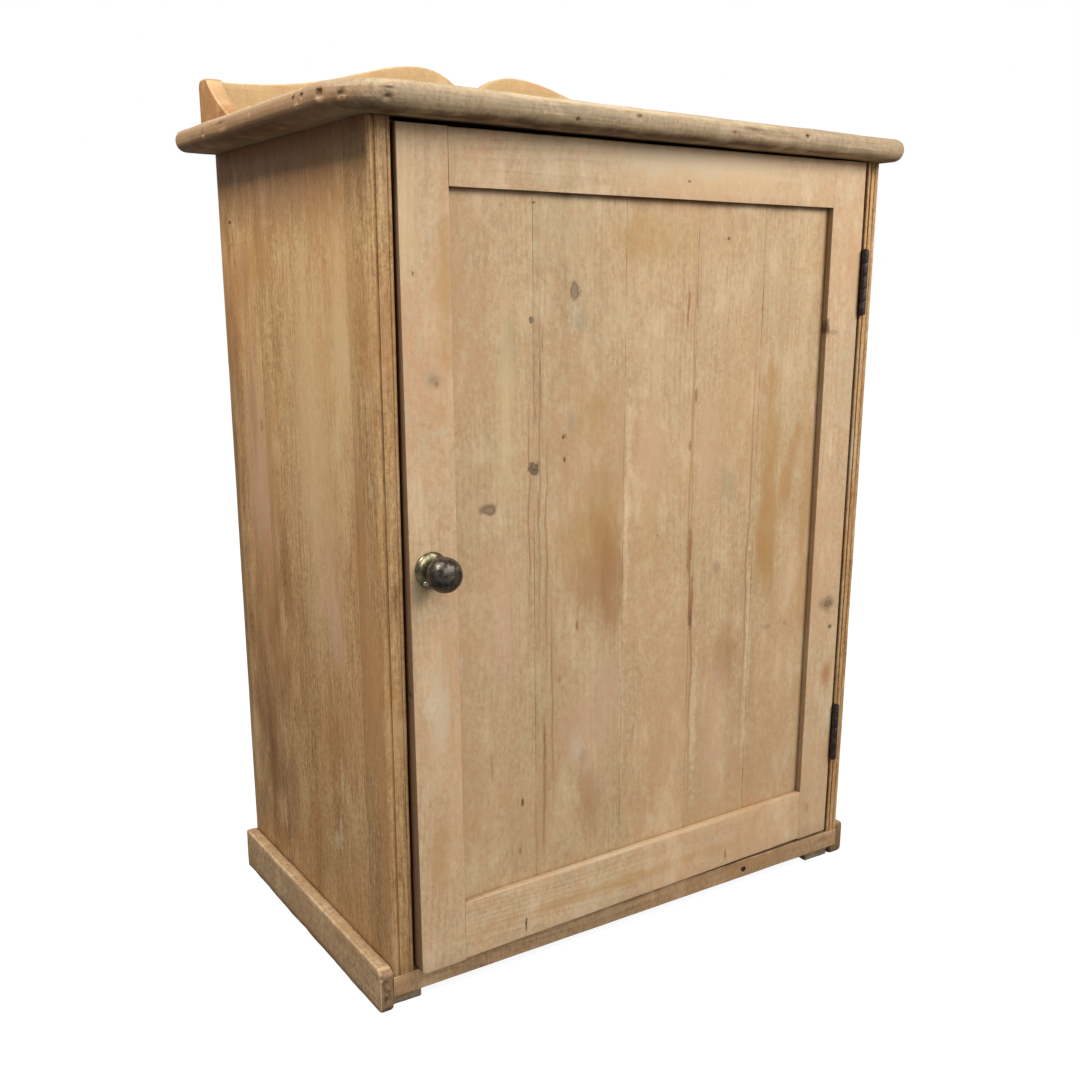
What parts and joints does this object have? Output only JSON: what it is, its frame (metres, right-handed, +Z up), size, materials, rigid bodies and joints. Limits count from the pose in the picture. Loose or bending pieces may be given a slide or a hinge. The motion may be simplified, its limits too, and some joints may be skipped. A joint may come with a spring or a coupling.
{
  "type": "jelly cupboard",
  "caption": "Free-standing jelly cupboard of plank sides with a bullnosed top, shaped gallery, inner shelves and a framed plank door on butt hinges with a round turning knob.",
  "frame": {"origin": "on the floor, in the middle of the cupboard's box", "axes": "+Z up, -Y is the front with the door, +X is to the right as seen from the front"},
  "size_m": [0.7434, 0.474, 1.0385],
  "materials": {
    "pine_door": "stripped and waxed pine, pale pinkish tan, satin",
    "pine_side": "stripped and waxed pine, darker orange-brown, worn",
    "pine_top": "waxed pine, greyer, rounded and dented edge",
    "pine_gallery": "waxed pine, yellow-orange",
    "pine_runner": "worn pine, pale arrises, cracked end grain",
    "pine_inner": "bare pine, dry",
    "brass_rose": "old brass, olive, rubbed",
    "bronze_knob": "dark bronze patina, glossy",
    "iron": "dark brown-black iron, dull"
  },
  "bodies": {
    "carcass": {"side_left_front_board": "pine_side", "side_left_middle_board": "pine_side", "side_left_rear_board": "pine_side", "side_right_front_board": "pine_side", "side_right_middle_board": "pine_side", "side_right_rear_board": "pine_side", "bottom_board_front": "pine_side", "bottom_board_rear": "pine_inner", "back_board_1": "pine_inner", "back_board_2": "pine_inner", "back_board_3": "pine_inner", "back_board_4": "pine_inner", "back_board_5": "pine_inner", "back_top_batten": "pine_inner", "top_board_front": "pine_top", "top_board_rear": "pine_top", "gallery_back": "pine_gallery", "gallery_side_left": "pine_gallery", "gallery_side_right": "pine_gallery", "shelf_1": "pine_inner", "shelf_1_cleat_left": "pine_inner", "shelf_1_cleat_right": "pine_inner", "shelf_2": "pine_inner", "shelf_2_cleat_left": "pine_inner", "shelf_2_cleat_right": "pine_inner", "shelf_3": "pine_inner", "shelf_3_cleat_left": "pine_inner", "shelf_3_cleat_right": "pine_inner", "top_cleat_left": "pine_inner", "top_cleat_right": "pine_inner", "door_stop_strip": "pine_inner", "runner_left": "pine_runner", "foot_block_front_left": "pine_runner", "foot_block_rear_left": "pine_runner", "runner_right": "pine_runner", "foot_block_front_right": "pine_runner", "foot_block_rear_right": "pine_runner", "hinge_upper_frame_leaf": "iron", "hinge_upper_pin": "iron", "hinge_lower_frame_leaf": "iron", "hinge_lower_pin": "iron"},
    "door": {"door_stile_free": "pine_door", "door_stile_hinge": "pine_door", "door_rail_top": "pine_door", "door_rail_bottom": "pine_door", "door_panel_board_1": "pine_door", "door_panel_board_2": "pine_door", "door_panel_board_3": "pine_door", "door_panel_board_4": "pine_door", "door_panel_board_5": "pine_door", "knob_rose": "brass_rose", "hinge_upper_door_leaf": "iron", "hinge_lower_door_leaf": "iron"},
    "knob": {"knob": "bronze_knob", "knob_spindle": "iron", "catch_bar": "iron", "catch_nut": "iron"}
  },
  "joints": [
    {"name": "door_hinge", "type": "hinge", "parent": "carcass", "child": "door", "pos_m": [0.32975, -0.1906, 0.48125], "axis": [0, 0, 1], "range_deg": [-0.3, 170]},
    {"name": "knob_turn", "type": "hinge", "parent": "door", "child": "knob", "pos_m": [-0.27386, -0.19449, 0.48984], "axis": [-0.0143, 0.9999, 0], "range_deg": [0, 90]}
  ]
}
